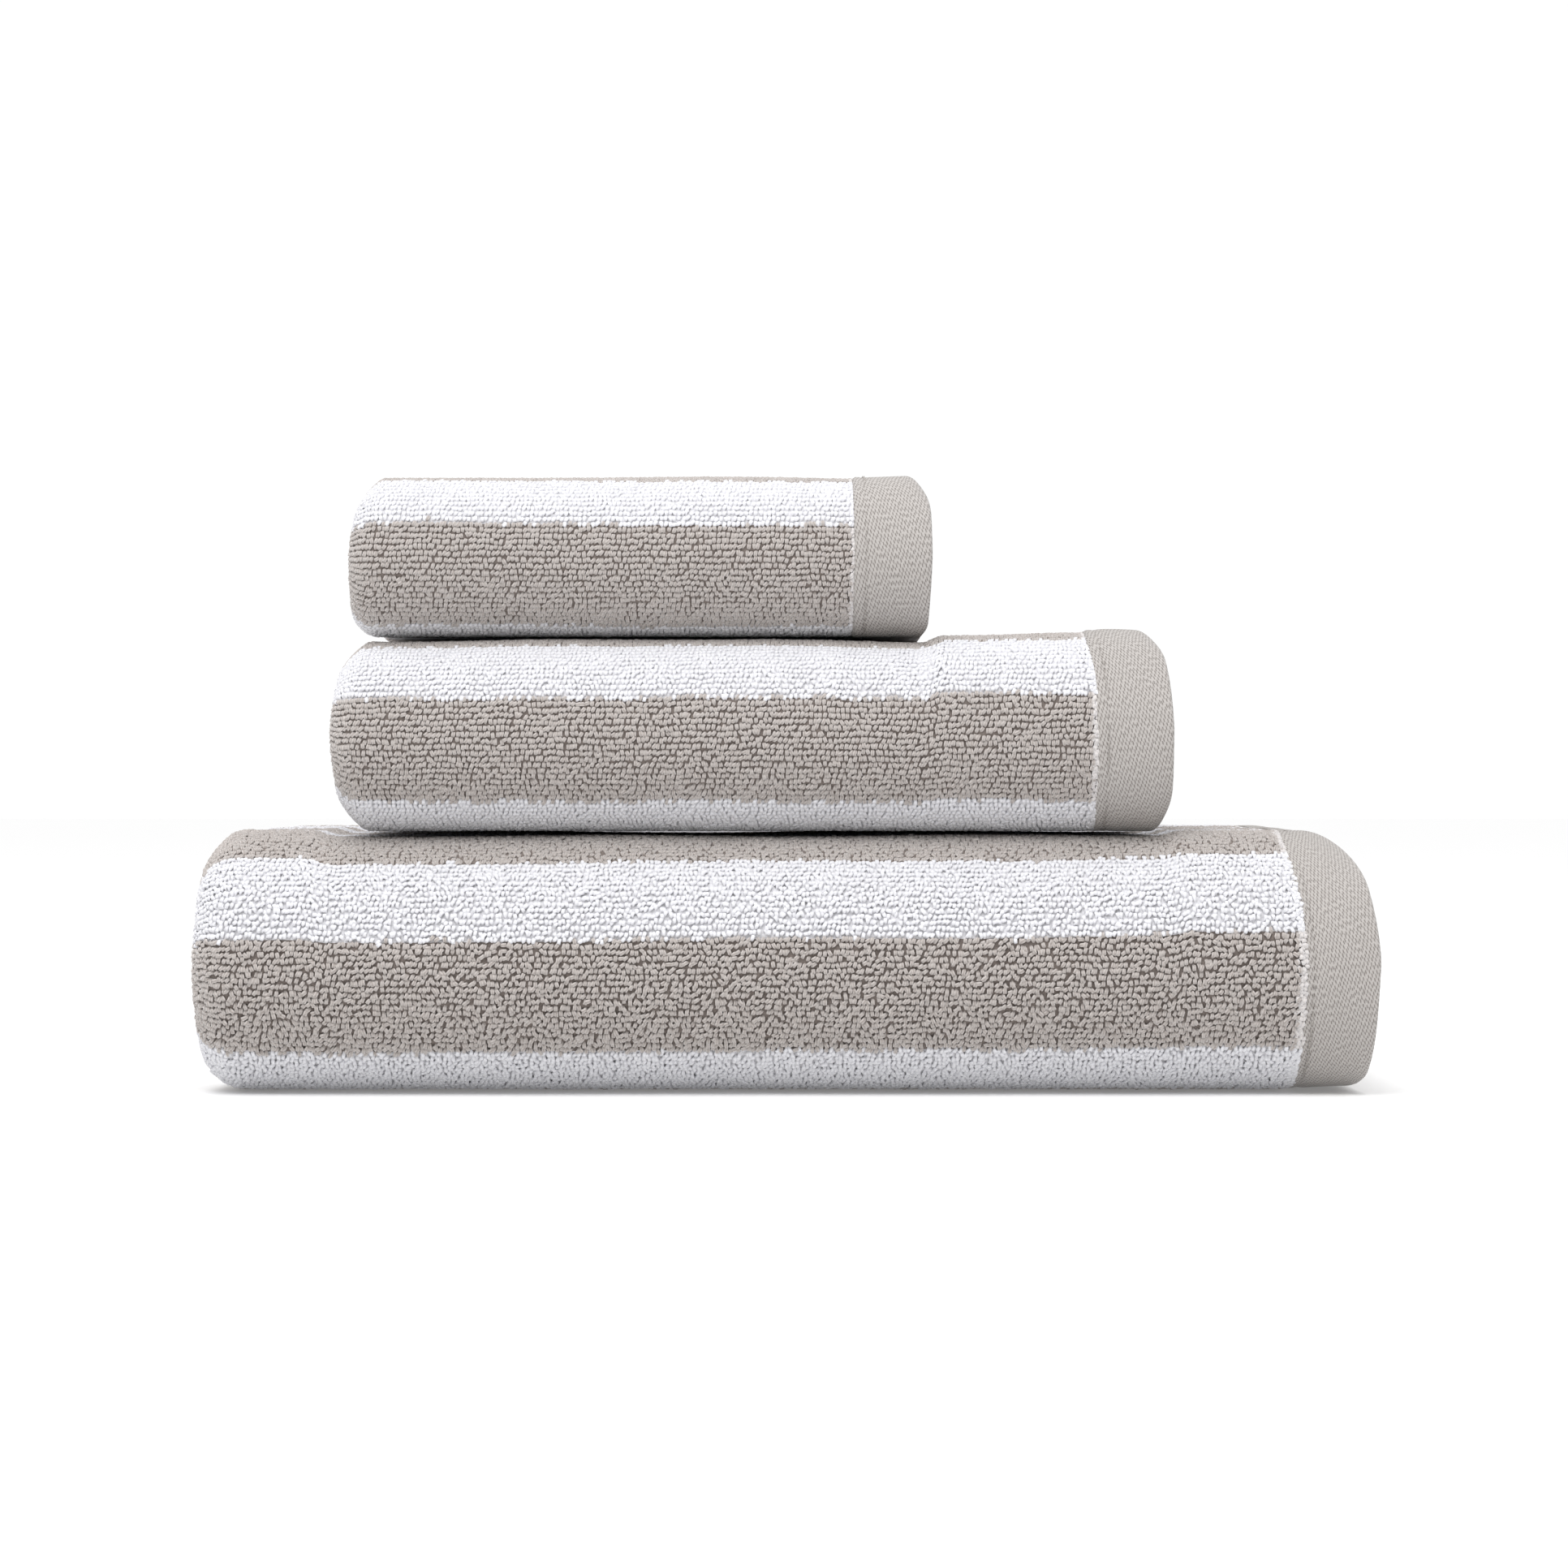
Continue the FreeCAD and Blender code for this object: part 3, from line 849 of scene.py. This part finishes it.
def end_stitches(towel, which, depth, material):
    """The row of lock stitches across an end hem."""
    start = np.arange(STITCH_START, towel.full_width - STITCH_LENGTH, STITCH_PITCH)
    local = stitch_tubes(len(start))
    w = start[:, None, None] + local[..., 0]
    x = towel.hem_x + SEAM_INSET + local[..., 1]
    points = towel.carried(x, depth + SEAM_DEPTH - local[..., 2], w)
    quads = tube_quads(*local.shape[:3])
    name = f"{towel.name}_{which}_end_stitches"
    piece = made_piece(name, towel, points, quads, material, "thread", (x, w))
    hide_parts(f"{towel.name}_{which}_end_thread")
    return piece


def side_stitches(towel, which, edge, inward, material):
    """The row of lock stitches along a side hem."""
    start = np.arange(STITCH_START, towel.marks[-1] - STITCH_LENGTH, STITCH_PITCH)
    local = stitch_tubes(len(start))
    u = start[:, None, None] + local[..., 0]
    w = edge + inward * SIDE_SEAM_INSET + local[..., 1]
    lift = towel.layer / 2 - SIDE_SINK - SIDE_SEAM_DEPTH + local[..., 2]
    points = towel.placed(u, w, lift)
    quads = tube_quads(*local.shape[:3])
    name = f"{towel.name}_{which}_side_stitches"
    piece = made_piece(name, towel, points, quads, material, "thread", (u, w))
    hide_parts(f"{towel.name}_{which}_side_thread")
    return piece


def loop_feet(towel, u_start, u_end, w_start, w_end, rng):
    """Where loops stand between these limits: rows across w, evenly spaced on the outside."""
    fine = np.linspace(u_start, u_end, 4000)
    outside = np.concatenate([[0], np.cumsum(np.diff(fine) / towel.outside_scale(fine[:-1]))])
    row_count = max(1, int((w_end - w_start) / ROW_PITCH))
    in_row = max(1, int(outside[-1] / LOOP_PITCH))
    rows = w_start + (np.arange(row_count) + 0.5) * (w_end - w_start) / row_count
    places = (np.arange(in_row) + 0.5) / in_row * outside[-1]
    shift = rng.uniform(-0.5, 0.5, (row_count, 1)) * LOOP_PITCH
    jitter = rng.normal(0, FOOT_JITTER * towel.unruly, (row_count, in_row)) * LOOP_PITCH
    outside_places = np.clip(places[None, :] + shift + jitter, 0, outside[-1])
    u = np.interp(outside_places, outside, fine)
    w = rows[:, None] + rng.normal(0, FOOT_JITTER * towel.unruly, u.shape) * ROW_PITCH
    return u.ravel(), w.ravel()


def loop_points(towel, u, w, rng, size=1.0):
    """The points round each loop's yarn, as (u, w, lift), and how near its tip each one is."""
    count = len(u)
    reach = np.array(LOOP_REACH)
    rise = np.array(LOOP_RISE)
    thick = LOOP_HALF_WIDTH * np.array(LOOP_THICKNESS)
    yaw = LOOP_SLANT + rng.normal(0, LOOP_TURN * towel.unruly, count)
    yaw += LOOP_SWIRL * waves(u, w, SWIRL_LENGTH, towel.seed + 4) * towel.unruly
    stretch = size * rng.normal(1.0, LOOP_SIZES, count)
    tall = towel.pile * size * rng.normal(1.0, LOOP_SIZES * towel.unruly, count)
    tall *= 1 - FLATTENED * towel.on_top(w)
    lean_u = rng.normal(0, LOOP_LEAN * towel.unruly, count)
    lean_u += LEAN_SWIRL * waves(u, w, LEAN_LENGTH, towel.seed + 5)
    lean_w = rng.normal(0, LOOP_LEAN * towel.unruly, count)
    lean_w += LEAN_SWIRL * waves(u, w, LEAN_LENGTH, towel.seed + 6)

    level = np.clip(rise, 0, 1) ** TIP_CURVE
    du = -np.sin(yaw)[:, None] * reach * stretch[:, None] + lean_u[:, None] * level
    dw = np.cos(yaw)[:, None] * reach * stretch[:, None] + lean_w[:, None] * level
    up = (rise - 1) * tall[:, None]
    top = towel.layer / 2 - LOOP_HALF_WIDTH
    paths = np.stack([du, dw, top + up + (tall - towel.pile)[:, None]], axis=-1)
    beside = np.stack([np.cos(yaw), np.sin(yaw), np.zeros(count)], axis=-1)
    local = tubes(paths, beside, thick, GROOVE)
    scale = towel.outside_scale(u)
    around_u = u[:, None, None] + local[..., 0] * scale[:, None, None]
    around_w = w[:, None, None] + local[..., 1]
    tip = np.broadcast_to(level[None, :, None], around_u.shape)
    return around_u, around_w, local[..., 2], tip


def pile_piece(towel, name, u, w, rng, material, size=1.0):
    """One piece of pile: the loops that stand at these places. Tip is how near a point is to the
    loop's tip, shade is the loop's own tone, and a third value is 1 along its opening. The
    material paints shade towards the root and along the opening."""
    around_u, around_w, lift, tip = loop_points(towel, u, w, rng, size)
    points = towel.placed(around_u, around_w, lift)
    shade = np.broadcast_to(rng.uniform(0, 1, len(u))[:, None, None], tip.shape)
    opening_shade = np.zeros(tip.shape)
    # Marks the opening along the middle of each loop, where its material paints shade.
    opening_shade[:, 1:-1, len(YARN_ANGLES) // 2] = 1
    quads = tube_quads(*around_u.shape)
    place = (around_u, around_w)
    values = {"tip": tip, "shade": shade, "opening_shade": opening_shade}
    return made_piece(name, towel, points, quads, material, "terry", place, **values)


def pile(towel, materials):
    """The loops, in pieces of one colour: on the top, the front and the back fold of the bundle
    and round the left end of its top, on the small fold at the right end, and a fringe of small
    ones that covers the cloth's edge at the end band."""
    rng = np.random.default_rng(SEED + towel.seed)
    inset = towel.side_hem
    around_left = towel.marks[2]
    back_start = towel.to_back - PILE_PAST_FOLD
    spans = [
        (EDGE_ROW, around_left, inset, towel.past_front + PILE_PAST_FOLD),
        (EDGE_ROW, around_left, back_start, towel.past_back + PILE_PAST_FOLD),
        (towel.marks[3], towel.marks[4], inset, towel.full_width - inset),
    ]
    feet = [loop_feet(towel, *span, rng) for span in spans]
    u = np.concatenate([f[0] for f in feet])
    w = np.concatenate([f[1] for f in feet])
    much, length = STRIPE_WANDER
    wander = much * waves(u, 0 * u, length, towel.seed + 7)
    wander += rng.normal(0, STRIPE_JITTER, len(u))
    phase = np.mod(towel.past_grey_start(u, w) + wander, towel.grey + towel.white)
    made = []
    for colour, here in (("grey", phase < towel.grey), ("white", phase >= towel.grey)):
        order = np.flatnonzero(here)
        order = order[np.argsort(w[order], kind="stable")]
        chunks = max(1, math.ceil(len(order) / LOOPS_IN_A_PIECE))
        for i, part in enumerate(np.array_split(order, chunks)):
            name = f"{towel.name}_{colour}_pile_{i + 1}"
            made.append(pile_piece(towel, name, u[part], w[part], rng, materials[colour]))
    return made + fringe(towel, materials, rng)


def fringe(towel, materials, rng):
    """The small loops that cover the cloth's edge at the end band. Beside the grey they are paler
    than the pile."""
    rows = np.arange(towel.side_hem, towel.past_back, FRINGE_PITCH)
    w = np.repeat(rows, len(FRINGE_COLUMNS))
    w = w + rng.normal(0, FRINGE_JITTER, len(w))
    u = np.tile(FRINGE_COLUMNS, len(rows)) + rng.normal(0, FRINGE_JITTER, len(w))
    phase = np.mod(towel.past_grey_start(u, w), towel.grey + towel.white)
    made = []
    for colour, here in (("edge", phase < towel.grey), ("white", phase >= towel.grey)):
        name = f"{towel.name}_{colour}_fringe"
        material = materials[colour]
        made.append(pile_piece(towel, name, u[here], w[here], rng, material, FRINGE_SIZE))
    return made


def dressed_towel(towel, shared):
    """Makes every visible piece of one towel: its cloth, and all that goes with it."""
    ground = ground_material(towel)
    cloth = terry_cloth(towel, ground)
    outer_depth = towel.hem_depth - HEM_RAISED
    end_depths = (outer_depth, outer_depth + towel.pitch)
    edges = (("top", 0.0, 1), ("tucked", towel.full_width, -1))
    pieces = []
    for which, depth, right_x in zip(
        ("outer", "inner"), end_depths, (towel.right_x, towel.inner_right_x)
    ):
        pieces.append(end_hem(towel, which, depth, right_x, shared["weave"]))
        pieces.append(end_stitches(towel, which, depth, shared["thread"]))
    for which, edge, inward in edges:
        pieces.append(side_hem(towel, which, edge, inward, ground))
        pieces.append(side_stitches(towel, which, edge, inward, shared["thread"]))
    pieces += pile(towel, shared)
    return cloth, pieces


# ---------------------------------------------------------------------------------------------
# Stage, light and camera


def floor():
    """A plain pale floor."""
    place = (0, 0, CAD_BOX[0].z - FLOOR_GAP)
    bpy.ops.mesh.primitive_plane_add(size=FLOOR_SIZE, location=place)
    plane = bpy.context.object
    plane.name = "floor"
    material = bpy.data.materials.new("pale_floor")
    material.use_nodes = True
    shader = material.node_tree.nodes["Principled BSDF"]
    shader.inputs["Base Color"].default_value = (*FLOOR_COLOUR, 1)
    shader.inputs["Roughness"].default_value = 0.9
    shader.inputs["Specular IOR Level"].default_value = 0.1
    shader.inputs["Emission Color"].default_value = (1, 1, 1, 1)
    shader.inputs["Emission Strength"].default_value = FLOOR_GLOW
    plane.data.materials.append(material)


def soft_light(name, place, target, size, power):
    """A square softbox that points at a target."""
    data = bpy.data.lights.new(name, "AREA")
    data.size = size
    data.energy = power
    lamp = bpy.data.objects.new(name, data)
    lamp.location = place
    away = np.array(target) - np.array(place)
    lamp.rotation_euler = Vector(away).to_track_quat("-Z", "Y").to_euler()
    bpy.context.scene.collection.objects.link(lamp)


def studio():
    """A white surround, lighter from above, with one softbox overhead and one in front."""
    world = bpy.data.worlds.new("studio")
    world.use_nodes = True
    tree = world.node_tree
    background = tree.nodes["Background"]
    background.inputs["Color"].default_value = (1, 1, 1, 1)
    direction = node(tree, "ShaderNodeTexCoord").outputs["Generated"]
    upward = node(tree, "ShaderNodeSeparateXYZ", {"Vector": direction}).outputs["Z"]
    upward = maths(tree, "MAXIMUM", upward, 0.0)
    lighting = maths(tree, "MULTIPLY_ADD", upward, CEILING - SURROUND, SURROUND)
    seen = node(tree, "ShaderNodeLightPath").outputs["Is Camera Ray"]
    backdrop = maths(tree, "SUBTRACT", BACKDROP, lighting)
    strength = maths(tree, "MULTIPLY_ADD", seen, backdrop, lighting)
    tree.links.new(strength, background.inputs["Strength"])
    bpy.context.scene.world = world
    for name, (place, size, power) in SOFTBOXES.items():
        soft_light(name, place, LIT_POINT, size, power)
    bpy.context.scene.view_settings.view_transform = "Standard"


def camera(front_y):
    """A level camera in front of the bath towel."""
    data = bpy.data.cameras.new("camera")
    data.sensor_width = SENSOR_WIDTH
    data.lens = SENSOR_WIDTH * CAMERA_DISTANCE / FRAME_WIDTH
    data.clip_end = 100
    eye = bpy.data.objects.new("camera", data)
    eye.location = (0, front_y - CAMERA_DISTANCE, CAMERA_HEIGHT)
    eye.rotation_euler = (math.pi / 2, 0, 0)
    bpy.context.scene.collection.objects.link(eye)
    bpy.context.scene.camera = eye


def whole_scene():
    """Camera, stage and the three towels, each lying on the one before it."""
    stack = (("bath", "hand"), ("hand", "guest"), ("guest", None))
    towels = [Towel(name, above, 10 * i) for i, (name, above) in enumerate(stack)]
    camera(towels[0].front_y)
    studio()
    floor()
    shared = {
        "grey": pile_material("grey_pile", GREY_ROOT_SHADE, GREY_TIP, spread=0.30),
        "white": pile_material("white_pile", WHITE_ROOT_SHADE, WHITE_TIP, spread=0.06),
        "edge": pile_material(
            "edge_pile", GREY_TIP, average(WHITE_TIP, GREY_TIP), spread=0.25
        ),
        "weave": weave_material(),
        "thread": thread_material(),
    }
    for towel in towels:
        cloth, pieces = dressed_towel(towel, shared)


whole_scene()
